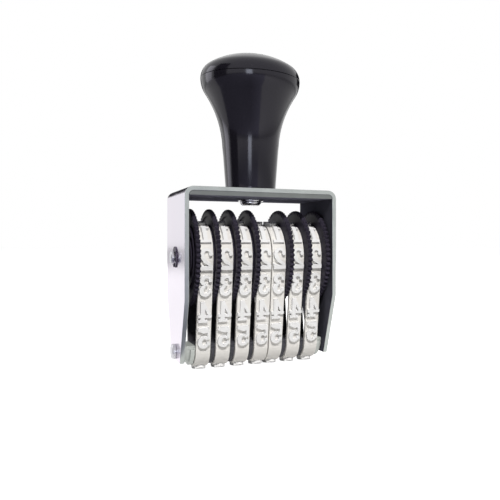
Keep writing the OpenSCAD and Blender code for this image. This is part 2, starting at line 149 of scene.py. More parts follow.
class StampFinish(bpy.types.PropertyGroup):
    rubber: colour("Rubber", "Colour of the bands", (0.80, 0.785, 0.755))
    handle: colour("Handle", "Colour of the handle", (0.0065, 0.006, 0.0085))
    wheel: colour("Wheels", "Colour of the thumb wheels", (0.026, 0.023, 0.034))
    zinc: colour("Zinc", "Colour of the plated sheet", (0.72, 0.645, 0.75))
    # Painted shade: the plated sheet's inner faces and the underside of its top are drawn in this dark
    # colour, for the shade inside the frame and the black wheels that they mirror.
    inner: colour("Inner faces painted shade", "Painted shade on the sheet's inner faces and under its top", (0.13, 0.13, 0.165))
    cut_edge: colour("Cut edge", "Colour of the sheet's cut edges", (0.52, 0.55, 0.53))
    clip: colour("Clips", "Colour of the blackened clips", (0.06, 0.05, 0.075))
    steel: colour("Steel", "Colour of the turned pieces", (0.62, 0.62, 0.64))
    shoe: colour("Shoe", "Colour of the printing shoe", (0.56, 0.59, 0.56))
    # Painted shade: the shoe between the bands is drawn dark for the shade that the bands cast on it.
    between_band_shade: colour("Painted Shade", "Painted shade on the shoe where the bands run on it", (0.05, 0.05, 0.058))
    # Painted shade: the inside of the bands is drawn dark for the shade inside the band loops.
    inside_shade: colour("Inside Painted Shade", "Painted shade on the inside of the bands", (0.045, 0.043, 0.05))
    brass: colour("Brass", "Colour of the insert", (0.78, 0.60, 0.32))
    floor: colour("Floor", "Colour of the floor", (0.75, 0.75, 0.75))


# ---------- selecting and shaping ----------


def deselect():
    bpy.ops.object.select_all(action="DESELECT")


def take(piece):
    """Makes one piece the active and only selected one."""
    deselect()
    piece.select_set(True)
    bpy.context.view_layer.objects.active = piece


def edit(piece):
    """Opens a piece in edit mode with all of it selected."""
    take(piece)
    bpy.ops.object.mode_set(mode="EDIT")
    bpy.ops.mesh.select_all(action="SELECT")


def leave_edit():
    bpy.ops.object.mode_set(mode="OBJECT")


def cut(at, along):
    """Cuts all of the piece in edit mode by a plane through a place, square to a direction."""
    bpy.ops.mesh.select_all(action="SELECT")
    bpy.ops.mesh.bisect(plane_co=at, plane_no=along)


def apply_modifiers(piece):
    take(piece)
    for modifier in list(piece.modifiers):
        bpy.ops.object.modifier_apply(modifier=modifier.name)


def settle(piece, name):
    """Puts a piece's place into its mesh and gives it its name."""
    take(piece)
    bpy.ops.object.transform_apply(location=True, rotation=True, scale=True)
    piece.name = name
    piece.data.name = name
    return piece


def smooth(piece, degrees):
    """Shades a piece smooth wherever its faces meet at less than an angle."""
    take(piece)
    bpy.ops.object.shade_smooth_by_angle(angle=math.radians(degrees))


def finish_piece(piece, body, slot, node, *materials):
    """Gives a piece its body and any new materials, and hides the node that it stands for. The slot is
    not used.
    """
    if materials:
        piece.data.materials.clear()
    for material in materials:
        piece.data.materials.append(material)
    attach(piece, body)
    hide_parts(node)


FLAT_ANGLE = 0.6            # degrees within which neighbouring faces are one flat
SHARP_ANGLE = 28            # degrees past which an edge is broken


def broken_edges(node, name, width, segments=2):
    """A copy of a CAD node with its flats merged and its sharp edges broken by a small round."""
    take(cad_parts[node])
    bpy.ops.object.duplicate()
    piece = bpy.context.object
    piece.parent = None
    for key in list(piece.keys()):
        del piece[key]
    edit(piece)
    bpy.ops.mesh.remove_doubles(threshold=CAD_WELD)
    bpy.ops.mesh.dissolve_limited(angle_limit=math.radians(FLAT_ANGLE))
    leave_edit()
    bevel = piece.modifiers.new("Edges", "BEVEL")
    bevel.width = width
    bevel.segments = segments
    bevel.limit_method = "ANGLE"
    bevel.angle_limit = math.radians(SHARP_ANGLE)
    bevel.use_clamp_overlap = True
    apply_modifiers(piece)
    smooth(piece, 40)
    weighted = piece.modifiers.new("Normals", "WEIGHTED_NORMAL")
    weighted.keep_sharp = True
    apply_modifiers(piece)
    return settle(piece, name)


def turned(name, profile, steps):
    """Turns an outline of (radius, height) points round Z, as on a lathe."""
    bpy.ops.mesh.primitive_plane_add(size=MM)
    piece = bpy.context.object
    bpy.ops.object.mode_set(mode="EDIT")
    bpy.ops.mesh.merge(type="CENTER")
    bpy.ops.transform.translate(value=(profile[0][0], 0, profile[0][1]))
    for start, end in zip(profile, profile[1:]):
        move = (end[0] - start[0], 0, end[1] - start[1])
        bpy.ops.mesh.extrude_region_move(TRANSFORM_OT_translate={"value": move})
    bpy.ops.mesh.select_all(action="SELECT")
    bpy.ops.mesh.spin(steps=steps, angle=2 * math.pi, center=(0, 0, 0), axis=(0, 0, 1))
    bpy.ops.mesh.select_all(action="SELECT")
    bpy.ops.mesh.remove_doubles(threshold=WELD)
    bpy.ops.mesh.normals_make_consistent(inside=False)
    leave_edit()
    return settle(piece, name)


def lay_along_x(piece, name, node, turn, height):
    """Lays a piece turned upright along X, facing to the right or, for a turn of -1, the left."""
    low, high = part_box(node)
    piece.rotation_euler = (0, math.radians(90) * turn, 0)
    piece.location = (low.x if turn > 0 else high.x, 0, height)
    return settle(piece, name)


def arc(centre, radius, start, end, steps):
    """Points on an arc from one angle to another, in degrees."""
    angles = [math.radians(start + (end - start) * i / steps) for i in range(steps + 1)]
    return [(centre[0] + radius * math.cos(a), centre[1] + radius * math.sin(a)) for a in angles]


# ---------- shader groups and materials ----------


def group_tree(name, inputs, outputs):
    """An empty shader group with named number inputs and outputs."""
    tree = bpy.data.node_groups.new(name, "ShaderNodeTree")
    for label, default in inputs:
        socket = tree.interface.new_socket(name=label, in_out="INPUT", socket_type="NodeSocketFloat")
        socket.default_value = default
    for label, kind in outputs:
        tree.interface.new_socket(name=label, in_out="OUTPUT", socket_type=kind)
    return tree, tree.nodes.new("NodeGroupInput"), tree.nodes.new("NodeGroupOutput")


def multiply_add(tree, value, factor, plus):
    """value * factor + plus, where each is a socket or a number."""
    node = tree.nodes.new("ShaderNodeMath")
    node.operation = "MULTIPLY_ADD"
    for i, item in enumerate((value, factor, plus)):
        if isinstance(item, (int, float)):
            node.inputs[i].default_value = item
        else:
            tree.links.new(item, node.inputs[i])
    return node.outputs[0]


def noise_field(tree, scale, detail, vector=None):
    """A noise texture on Object coordinates, as a number between 0 and 1."""
    if vector is None:
        vector = tree.nodes.new("ShaderNodeTexCoord").outputs["Object"]
    noise = tree.nodes.new("ShaderNodeTexNoise")
    noise.inputs["Detail"].default_value = detail
    tree.links.new(vector, noise.inputs["Vector"])
    tree.links.new(scale, noise.inputs["Scale"])
    return noise.outputs["Fac"]


def mottle_group():
    """Slow patches: a number that wanders round a middle value by a spread."""
    tree, inside, outside = group_tree(
        "Surface Mottle",
        [("Scale", 120.0), ("Middle", 0.3), ("Spread", 0.1)],
        [("Value", "NodeSocketFloat")],
    )
    field = noise_field(tree, inside.outputs["Scale"], 3.0)
    centred = multiply_add(tree, field, 2.0, -1.0)
    value = multiply_add(tree, centred, inside.outputs["Spread"], inside.outputs["Middle"])
    tree.links.new(value, outside.inputs["Value"])
    return tree


def grain_group():
    """Fine grain of a moulded or ground surface, as a height."""
    tree, inside, outside = group_tree(
        "Fine Grain", [("Scale", 4000.0), ("Depth", 0.2)], [("Height", "NodeSocketFloat")]
    )
    field = noise_field(tree, inside.outputs["Scale"], 2.0)
    height = multiply_add(tree, field, inside.outputs["Depth"], 0.0)
    tree.links.new(height, outside.inputs["Height"])
    return tree


def streak_group():
    """Long fine lines, as left by rolling or turning, as a height along one stretched axis."""
    tree, inside, outside = group_tree(
        "Rolled Streaks",
        [("Across X", 1.0), ("Across Y", 1.0), ("Across Z", 1.0), ("Scale", 900.0)],
        [("Height", "NodeSocketFloat")],
    )
    place = tree.nodes.new("ShaderNodeTexCoord")
    stretch = tree.nodes.new("ShaderNodeCombineXYZ")
    for i, label in enumerate(("Across X", "Across Y", "Across Z")):
        tree.links.new(inside.outputs[label], stretch.inputs[i])
    scaled = tree.nodes.new("ShaderNodeVectorMath")
    scaled.operation = "MULTIPLY"
    tree.links.new(place.outputs["Object"], scaled.inputs[0])
    tree.links.new(stretch.outputs[0], scaled.inputs[1])
    field = noise_field(tree, inside.outputs["Scale"], 3.0, scaled.outputs[0])
    tree.links.new(field, outside.inputs["Height"])
    return tree


def tint_group():
    """A colour that wanders a little towards a second one in patches."""
    tree, inside, outside = group_tree("Tint Patches", [("Scale", 60.0), ("Amount", 0.5)], [])
    for label in ("Colour", "Second"):
        tree.interface.new_socket(name=label, in_out="INPUT", socket_type="NodeSocketColor")
    tree.interface.new_socket(name="Colour", in_out="OUTPUT", socket_type="NodeSocketColor")
    field = noise_field(tree, inside.outputs["Scale"], 4.0)
    amount = multiply_add(tree, field, inside.outputs["Amount"], 0.0)
    mix = tree.nodes.new("ShaderNodeMix")
    mix.data_type = "RGBA"
    tree.links.new(amount, mix.inputs["Factor"])
    tree.links.new(inside.outputs["Colour"], mix.inputs["A"])
    tree.links.new(inside.outputs["Second"], mix.inputs["B"])
    tree.links.new(mix.outputs["Result"], outside.inputs["Colour"])
    return tree


def shared_group(name):
    """A shader group that is made once, when the first material asks for it."""
    makers = {
        "Surface Mottle": mottle_group,
        "Fine Grain": grain_group,
        "Rolled Streaks": streak_group,
        "Tint Patches": tint_group,
    }
    return bpy.data.node_groups.get(name) or makers[name]()


def place_group(tree, name, **values):
    """Puts a shared group into a material with its own values."""
    made = tree.nodes.new("ShaderNodeGroup")
    made.node_tree = shared_group(name)
    for label, value in values.items():
        made.inputs[label.replace("_", " ")].default_value = value
    return made


def bump_normal(tree, relief, distance, below=None):
    """The normal that a group's height gives as a bump, laid over another bump's if one is given."""
    bump = tree.nodes.new("ShaderNodeBump")
    bump.inputs["Distance"].default_value = distance
    tree.links.new(relief.outputs["Height"], bump.inputs["Height"])
    if below is not None:
        tree.links.new(below, bump.inputs["Normal"])
    return bump.outputs["Normal"]


def finish_material(name, base, second, tint, rough, grain, constants, streak=None):
    """A material with a colour in patches, a roughness in patches and a fine bump.

    tint is (scale, amount), rough is (scale, middle, spread), grain is (scale, depth, distance)
    and streak is (three stretches, scale, distance) of a second bump along one direction.
    """
    material = bpy.data.materials.new(name)
    material.use_nodes = True
    tree = material.node_tree
    shader = tree.nodes["Principled BSDF"]
    for label, value in constants.items():
        shader.inputs[label].default_value = value
    patches = place_group(tree, "Tint Patches", Scale=tint[0], Amount=tint[1])
    patches.inputs["Colour"].default_value = (*base, 1)
    patches.inputs["Second"].default_value = (*second, 1)
    tree.links.new(patches.outputs["Colour"], shader.inputs["Base Color"])
    mottle = place_group(tree, "Surface Mottle", Scale=rough[0], Middle=rough[1], Spread=rough[2])
    tree.links.new(mottle.outputs["Value"], shader.inputs["Roughness"])
    fine = place_group(tree, "Fine Grain", Scale=grain[0], Depth=grain[1])
    normal = bump_normal(tree, fine, grain[2])
    if streak is not None:
        (x, y, z), scale, distance = streak
        lines = place_group(tree, "Rolled Streaks", Across_X=x, Across_Y=y, Across_Z=z, Scale=scale)
        normal = bump_normal(tree, lines, distance, normal)
    tree.links.new(normal, shader.inputs["Normal"])
    return material


def shade(base, factor):
    """A colour made darker or lighter."""
    return tuple(min(1.0, c * factor) for c in base)


def zinc_sheet():
    """Bright zinc plate on rolled sheet, with a faint lavender cast."""
    base = bpy.context.scene.stamp_finish.zinc
    return finish_material(
        "Zinc Plated Sheet", base, (0.72, 0.71, 0.78),
        tint=(70, 0.6), rough=(160, 0.13, 0.05), grain=(2500, 0.3, 0.01 * MM),
        constants={"Metallic": 1.0}, streak=((1, 1, 0.03), 900, 0.004 * MM),
    )


def sheet_edge(name, shade_share):
    """The sheet's cut edges, greyer and rougher than its faces, by a share of their brightness; a share
    below one makes a darker copy as painted shade.
    """
    base = shade(bpy.context.scene.stamp_finish.cut_edge, shade_share)
    return finish_material(
        name, base, shade(base, 0.7),
        tint=(300, 0.8), rough=(500, 0.34, 0.1), grain=(3500, 0.5, 0.02 * MM),
        constants={"Metallic": 1.0}, streak=((0.05, 1, 0.05), 2500, 0.02 * MM),
    )


def painted_inner_shade(name, shade_share):
    """Painted shade on the sheet's inner faces: the plated sheet drawn dark and half matt for the shade
    there and the black wheels it mirrors, by a share of its brightness.
    """
    base = shade(bpy.context.scene.stamp_finish.inner, shade_share)
    return finish_material(
        name, base, shade(base, 1.7),
        tint=(60, 0.7), rough=(140, 0.45, 0.08), grain=(2500, 0.3, 0.01 * MM),
        constants={"Specular IOR Level": 0.0}, streak=((1, 1, 0.03), 900, 0.004 * MM),
    )


def clip_steel():
    """Blackened spring steel of the clips."""
    base = bpy.context.scene.stamp_finish.clip
    return finish_material(
        "Blackened Clip Steel", base, shade(base, 1.6),
        tint=(300, 0.6), rough=(400, 0.45, 0.08), grain=(3000, 0.3, 0.01 * MM),
        constants={"Specular IOR Level": 0.2},
    )


def turned_steel():
    """Bright steel with the fine rings of the lathe."""
    base = bpy.context.scene.stamp_finish.steel
    return finish_material(
        "Turned Steel", base, shade(base, 0.8),
        tint=(200, 0.5), rough=(300, 0.2, 0.07), grain=(3000, 0.3, 0.01 * MM),
        constants={"Metallic": 1.0}, streak=((1, 0.06, 0.06), 3000, 0.006 * MM),
    )


def dull_steel():
    """Dull steel of the rivets and the axle, made once for both."""
    name = "Dull Steel"
    base = bpy.context.scene.stamp_finish.steel
    return bpy.data.materials.get(name) or finish_material(
        name, base, shade(base, 0.85),
        tint=(250, 0.5), rough=(350, 0.42, 0.06), grain=(2500, 0.4, 0.015 * MM),
        constants={"Metallic": 1.0},
    )


def shoe_metal():
    """Pale drawn metal of the printing shoe's ends."""
    base = bpy.context.scene.stamp_finish.shoe
    return finish_material(
        "Shoe Metal", base, shade(base, 0.85),
        tint=(150, 0.5), rough=(220, 0.45, 0.06), grain=(2500, 0.3, 0.01 * MM),
        constants={"Metallic": 0.3}, streak=((0.03, 1, 1), 1500, 0.006 * MM),
    )


def shoe_between_band_shade():
    """Painted shade on the shoe where the bands run on it and shade it."""
    base = bpy.context.scene.stamp_finish.between_band_shade
    return finish_material(
        "Shoe Painted Shade", base, shade(base, 1.6),
        tint=(150, 0.6), rough=(220, 0.55, 0.06), grain=(2500, 0.5, 0.015 * MM),
        constants={"Specular IOR Level": 0.2},
    )


def band_inside_shade():
    """Painted shade on the inside of the bands, dark, with fine streaks as a bump."""
    base = bpy.context.scene.stamp_finish.inside_shade
    return finish_material(
        "Band Inside Painted Shade", base, shade(base, 1.7),
        tint=(200, 0.6), rough=(300, 0.8, 0.06), grain=(2200, 0.8, 0.05 * MM),
        constants={"Specular IOR Level": 0.1}, streak=((0.05, 1, 1), 2200, 0.05 * MM),
    )


def insert_brass():
    """Plain brass of the handle's insert."""
    base = bpy.context.scene.stamp_finish.brass
    return finish_material(
        "Insert Brass", base, shade(base, 0.8),
        tint=(200, 0.5), rough=(300, 0.28, 0.06), grain=(3000, 0.3, 0.01 * MM),
        constants={"Metallic": 1.0},
    )


def handle_gloss():
    """Black moulded plastic with a polished skin and faint smudges."""
    base = bpy.context.scene.stamp_finish.handle
    return finish_material(
        "Handle Gloss", base, shade(base, 1.8),
        tint=(40, 0.5), rough=(55, 0.13, 0.04), grain=(900, 0.4, 0.005 * MM),
        constants={"Specular IOR Level": 0.36, "Specular Tint": (0.92, 0.9, 1.0, 1)},
    )


def wheel_plastic():
    """Black moulded plastic of the thumb wheels, nearly without gloss."""
    base = bpy.context.scene.stamp_finish.wheel
    return finish_material(
        "Wheel Plastic", base, shade(base, 2.2),
        tint=(220, 0.7), rough=(260, 0.4, 0.08), grain=(3200, 0.5, 0.012 * MM),
        constants={"Specular IOR Level": 0.04},
    )


def band_rubber():
    """Warm off-white rubber, matt, with a trace of handling."""
    base = bpy.context.scene.stamp_finish.rubber
    return finish_material(
        "Band Rubber", base, (0.70, 0.675, 0.635),
        tint=(160, 0.55), rough=(300, 0.52, 0.08), grain=(2600, 0.6, 0.02 * MM),
        constants={"Specular IOR Level": 0.4}, streak=((0.02, 1, 1), 1500, 0.02 * MM),
    )


# ---------- handle ----------


def crown_radius(handle, height):
    """Radius of the crown that runs into the shoulder without a corner."""
    shoulder_x = HEAD_R - handle.shoulder_r
    return (shoulder_x**2 + height**2 - handle.shoulder_r**2) / (2 * (height - handle.shoulder_r))


def waist_centre(handle, head_centre):
    """Centre of the hollow curve that touches the stem's line and the head's lower curve."""
    tilt = math.atan(handle.slope)
    along = Vector((math.sin(tilt), math.cos(tilt)))
    out = Vector((math.cos(tilt), -math.sin(tilt)))
    start = Vector((handle.foot_r, HANDLE_FOOT_Z)) + handle.waist_r * out
    to_head = start - head_centre
    half = to_head.dot(along)
    reach = handle.waist_r + handle.lower_r
    travel = -half - math.sqrt(half**2 - to_head.length_squared + reach**2)
    return start + along * travel


def grip_outline(handle):
    """Outline of the hollow grip, from its bore up its outside and back down its inside."""
    head_centre = Vector((HEAD_R - handle.lower_r, SEAM_Z))
    waist = waist_centre(handle, head_centre)
    tilt = math.degrees(math.atan(handle.slope))
    to_head = (head_centre - waist).normalized()
    joint = math.degrees(math.atan2(to_head.y, to_head.x))
    foot = handle.foot_round
    points = [(handle.bore_r, HANDLE_FOOT_Z)]
    points += arc((handle.foot_r - foot, HANDLE_FOOT_Z + foot), foot, -90, 0, 6)
    points += arc(waist, handle.waist_r, 180 - tilt, joint, 26)
    lower_end = -math.degrees(handle.seam_w / 2 / handle.lower_r)
    points += arc(head_centre, handle.lower_r, joint - 180, lower_end, 14)
    points.append((HEAD_R - handle.seam_depth, SEAM_Z))
    mouth_r = HEAD_R - handle.wall
    hollow_z = SEAM_Z - handle.lower_r - handle.wall
    points += [
        (mouth_r, SEAM_Z),
        (mouth_r, SEAM_Z - handle.skirt),
        (handle.foot_r - handle.wall, hollow_z),
        (handle.foot_r - handle.wall, HANDLE_FOOT_Z + handle.bore_depth + handle.wall),
        (handle.bore_r, HANDLE_FOOT_Z + handle.bore_depth),
        (handle.bore_r, HANDLE_FOOT_Z),
    ]
    return points


def cap_outline(handle):
    """Outline of the cap, from the bottom of its skirt up to the top of its crown."""
    play = 0.03 * MM
    crown = crown_radius(handle, HANDLE_TOP_Z - SEAM_Z)
    shoulder = (HEAD_R - handle.shoulder_r, SEAM_Z)
    crown_centre = (0, HANDLE_TOP_Z - crown)
    joint = math.degrees(math.atan2(shoulder[1] - crown_centre[1], shoulder[0]))
    start = math.degrees(handle.seam_w / 2 / handle.shoulder_r)
    skirt_r = HEAD_R - handle.wall - play
    points = [(0, SEAM_Z - handle.skirt), (skirt_r, SEAM_Z - handle.skirt), (skirt_r, SEAM_Z)]
    points.append((HEAD_R - handle.seam_depth, SEAM_Z))
    points += arc(shoulder, handle.shoulder_r, start, joint, 12)
    points += arc(crown_centre, crown, joint, 90, 16)[1:]
    return points


class STAMP_OT_handle(bpy.types.Operator):
    """Turns the grip and the cap, and finishes the screw, washer and insert"""

    bl_idname = "stamp.handle"
    bl_label = "Handle"

    def execute(self, context):
        handle = context.scene.stamp_handle
        gloss = handle_gloss()
        for node, name, outline in (
            ("handle_grip", "moulded_grip", grip_outline(handle)),
            ("handle_cap", "moulded_cap", cap_outline(handle)),
        ):
            piece = turned(name, outline, handle.turns)
            smooth(piece, 30)
            finish_piece(piece, FRAME_BODY, "handle_plastic", node, gloss)
        steel = turned_steel()
        for node, name in (("handle_screw", "slotted_screw"), ("screw_washer", "plain_washer")):
            piece = broken_edges(node, name, 0.12 * MM)
            finish_piece(piece, FRAME_BODY, "turned_steel", node, steel)
        insert = broken_edges("handle_insert", "threaded_insert", 0.1 * MM)
        finish_piece(insert, FRAME_BODY, "insert_brass", "handle_insert", insert_brass())
        return {"FINISHED"}


# ---------- frame ----------


class STAMP_OT_frame(bpy.types.Operator):
    """Finishes the bent sheet, the stiffener under its top and the two rivets"""

    bl_idname = "stamp.frame"
    bl_label = "Frame"

    def execute(self, context):
        plate = zinc_sheet()
        # Painted shade: darker copies of the plated sheet for its inner sides and the underside of its
        # top.
        inner = painted_inner_shade("Inner Side Painted Shade", 0.42), painted_inner_shade("Under the Top Painted Shade", 1.0)
        for node, name, edge in (
            ("frame", "bent_sheet", sheet_edge("Sheet Cut Edge", 1.0)),
            # Painted shade: the stiffener's edge is a darker copy of the sheet's cut edge, for the shade
            # under the top.
            ("stiffener_plate", "top_stiffener", sheet_edge("Stiffener Cut Edge Painted Shade", 0.45)),
        ):
            piece = broken_edges(node, name, 0.16 * MM, segments=3)
            finish_piece(piece, FRAME_BODY, "zinc_plated_sheet", node, plate, edge, *inner)
            for face in piece.data.polygons:
                face.material_index = sheet_side(face.normal, face.center)
        for side, turn in (("left", -1), ("right", 1)):
            rivet = flat_rivet(f"{side}_headed_rivet", f"{side}_rivet", turn)
            finish_piece(rivet, FRAME_BODY, "turned_steel", f"{side}_rivet", dull_steel())
        return {"FINISHED"}


# The sheet's finishes, in the order of its materials; the last two are painted shade.
PLATED, CUT_EDGE, INNER_SIDE_SHADE, UNDER_TOP_SHADE = range(4)


def sheet_side(normal, centre):
    """Which of its finishes a face of the sheet has, from where it looks and lies; faces inside the frame
    take painted shade.
    """
    at_foot = centre.z < 4 * MM
    if abs(normal.y) > 0.6 or (at_foot and normal.z < -0.5):
        return CUT_EDGE
    if normal.x * centre.x < 0 and abs(normal.x) > 0.5:
        return INNER_SIDE_SHADE
    if normal.z < -0.3 and centre.z > AXLE_Z:
        return UNDER_TOP_SHADE
    return PLATED


def flat_rivet(name, node, turn):
    """A rivet with a flat head and a rounded edge, turned upright and laid along X."""
    head_r, long = size(node).z / 2, size(node).x
    head_h, shank_r = 1.2 * MM, 1.5 * MM
    edge_r, broken = 0.45 * MM, 0.1 * MM
    under = long - head_h
    profile = [(0, 0), (shank_r, 0), (shank_r, under), (head_r - broken, under), (head_r, under + broken)]
    profile += arc((head_r - edge_r, long - edge_r), edge_r, 0, 80, 8)
    profile.append((0, long))
    rivet = lay_along_x(turned(name, profile, 64), name, node, turn, middle(node).z)
    smooth(rivet, 35)
    return rivet


# ---------- axle and shoe ----------


CLIP_SHARE = 0.55           # thickness of the visible clip as a share of the solid's


class STAMP_OT_axle(bpy.types.Operator):
    """Finishes the axle, its clips, the spacer, the washer and the printing shoe"""

    bl_idname = "stamp.axle"
    bl_label = "Axle and shoe"

    def execute(self, context):
        steel, dark = dull_steel(), clip_steel()
        for node, name, material in (
            ("axle", "turned_axle", steel),
            ("left_clip", "left_spring_clip", dark),
            ("right_clip", "right_spring_clip", dark),
            ("left_spacer", "spacer_tube", steel),
            ("right_washer", "thrust_washer", steel),
        ):
            piece = broken_edges(node, name, 0.08 * MM)
            if material is dark:
                thin_clip(piece, node)
            finish_piece(piece, FRAME_BODY, "turned_steel", node, material)
        shoe_with_painted_shade()
        return {"FINISHED"}


def thin_clip(piece, node):
    """Draws a clip's outer face in, towards the plate that it lies against."""
    low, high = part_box(node)
    inner_x = high.x if high.x < 0 else low.x
    for vertex in piece.data.vertices:
        vertex.co.x = inner_x + (vertex.co.x - inner_x) * CLIP_SHARE


def shoe_with_painted_shade():
    """The printing shoe, cut across at the outermost bands, with painted shade between the two cuts."""
    shoe = broken_edges("printing_shoe", "drawn_shoe", 0.12 * MM)
    band_low, band_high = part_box("band_1")[0].x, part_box(f"band_{WHEELS}")[1].x
    edit(shoe)
    for x in (band_low, band_high):
        cut((x, 0, 0), (1, 0, 0))
    leave_edit()
    finish_piece(shoe, FRAME_BODY, "shoe_metal", "printing_shoe", shoe_metal(), shoe_between_band_shade())
    # Painted shade: faces between the cuts take the dark second material.
    for face in shoe.data.polygons:
        face.material_index = int(band_low < face.center.x < band_high)


# ---------- wheels ----------


STEPS_PER_TOOTH = 8


class STAMP_OT_wheels(bpy.types.Operator):
    """Finishes the seven thumb discs and their drums"""

    bl_idname = "stamp.wheels"
    bl_label = "Thumb wheels"

    def execute(self, context):
        plastic = wheel_plastic()
        for k in range(1, WHEELS + 1):
            disc = toothed_disc(context.scene.stamp_disc, k)
            finish_piece(disc, f"wheel_{k}", "wheel_plastic", f"thumb_disc_{k}", plastic)
            drum = broken_edges(f"drum_{k}", f"band_drum_{k}", 0.1 * MM)
            finish_piece(drum, f"wheel_{k}", "wheel_plastic", f"drum_{k}", plastic)
        return {"FINISHED"}


def disc_profile(disc, rim_r, thick):
    """Outline of a disc from its bore out, with the recessed face on top."""
    edge, corner = disc.chamfer, 0.3 * disc.chamfer
    floor = thick - disc.recess
    wall = 0.08 * MM
    below_teeth = 0.2 * MM
    ring_out, ring_in = disc.ring_r + disc.ring_w / 2, disc.ring_r - disc.ring_w / 2
    flat_r = rim_r - disc.rim
    root_r = rim_r - edge - disc.tooth_h - below_teeth
    return [
        (disc.bore_r, 0), (root_r, 0), (rim_r - edge, 0), (rim_r - corner, corner),
        (rim_r, edge), (rim_r, thick - edge), (rim_r - corner, thick - corner),
        (rim_r - edge, thick), (root_r, thick), (flat_r + wall, thick), (flat_r, floor),
        (ring_out + wall, floor), (ring_out, thick - wall), (ring_out - wall, thick),
        (ring_in + wall, thick), (ring_in, thick - wall), (ring_in - wall, floor),
        (disc.hub_r + wall, floor), (disc.hub_r, thick), (disc.bore_r, thick), (disc.bore_r, 0),
    ]


def toothed_disc(disc, k):
    """A thumb disc turned upright, its rim drawn in between the teeth, laid along X."""
    node, name = f"thumb_disc_{k}", f"toothed_disc_{k}"
    rim_r = size(node).z / 2
    inside_rim = rim_r - 1.2 * disc.chamfer
    piece = turned(name, disc_profile(disc, rim_r, size(node).x), STEPS_PER_TOOTH * disc.teeth)
    for vertex in piece.data.vertices:
        x, y, z = vertex.co
        radius = math.hypot(x, y)
        if radius > inside_rim:
            lobe = math.sin(math.atan2(y, x) * disc.teeth / 2) ** 2
            drawn = (radius - disc.tooth_h * (1 - lobe)) / radius
            vertex.co = (x * drawn, y * drawn, z)
    lay_along_x(piece, name, node, -1 if k <= LEFT_HANDED else 1, AXLE_Z)
    smooth(piece, 32)
    return piece


# ---------- bands ----------


class BandPath:
    """The band's way round the drum, down and round the shoe, measured along its outer face."""

    def __init__(self, band):
        self.top = DRUM_R + band.drum_gap + band.thickness
        self.low = band.shoe_r + band.seat_gap + band.thickness
        self.low_z = band.relief + self.low
        reach = AXLE_Z - self.low_z
        self.lean = math.asin((self.top - self.low) / reach)
        self.low_arc = self.low * (math.pi / 2 - self.lean)
        self.run = reach * math.cos(self.lean)
        self.half = self.low_arc + self.run + self.top * (math.pi / 2 + self.lean)

    def place(self, s, height):
        """Where the distance s along the face and a height over it come to lie, as (y, z)."""
        far = abs(s)
        if far < self.low_arc:
            turn = far / self.low
            y, z = 0.0, self.low_z
            radius = self.low
        elif far < self.low_arc + self.run:
            turn = math.pi / 2 - self.lean
            y = (far - self.low_arc) * math.sin(self.lean)
            z = self.low_z + (far - self.low_arc) * math.cos(self.lean)
            radius = self.low
        else:
            turn = math.pi / 2 - self.lean + (far - self.low_arc - self.run) / self.top
            y, z = 0.0, AXLE_Z
            radius = self.top
        y += (radius + height) * math.sin(turn)
        z -= (radius + height) * math.cos(turn)
        return (-y if s > 0 else y, z)


def flat_belt(band, path):
    """The belt laid flat, rubber with painted shade on its inner face: X across, Y along its run and Z
    out of its face.
    """
    steps = round(2 * path.half / band.step)
    bpy.ops.mesh.primitive_grid_add(x_subdivisions=3, y_subdivisions=steps, size=1)
    belt = bpy.context.object
    belt.scale = (band.width, 2 * path.half, 1)
    bpy.ops.object.transform_apply(location=False, rotation=False, scale=True)
    edit(belt)
    bpy.ops.mesh.extrude_region_move(TRANSFORM_OT_translate={"value": (0, 0, -band.thickness)})
    bpy.ops.mesh.select_all(action="SELECT")
    bpy.ops.mesh.normals_make_consistent(inside=False)
    leave_edit()
    belt.data.materials.append(band_rubber())
    belt.data.materials.append(band_inside_shade())
    # Painted shade: the belt's inner faces take the dark second material.
    for face in belt.data.polygons:
        face.material_index = int(face.normal.z < -0.5)
    return belt


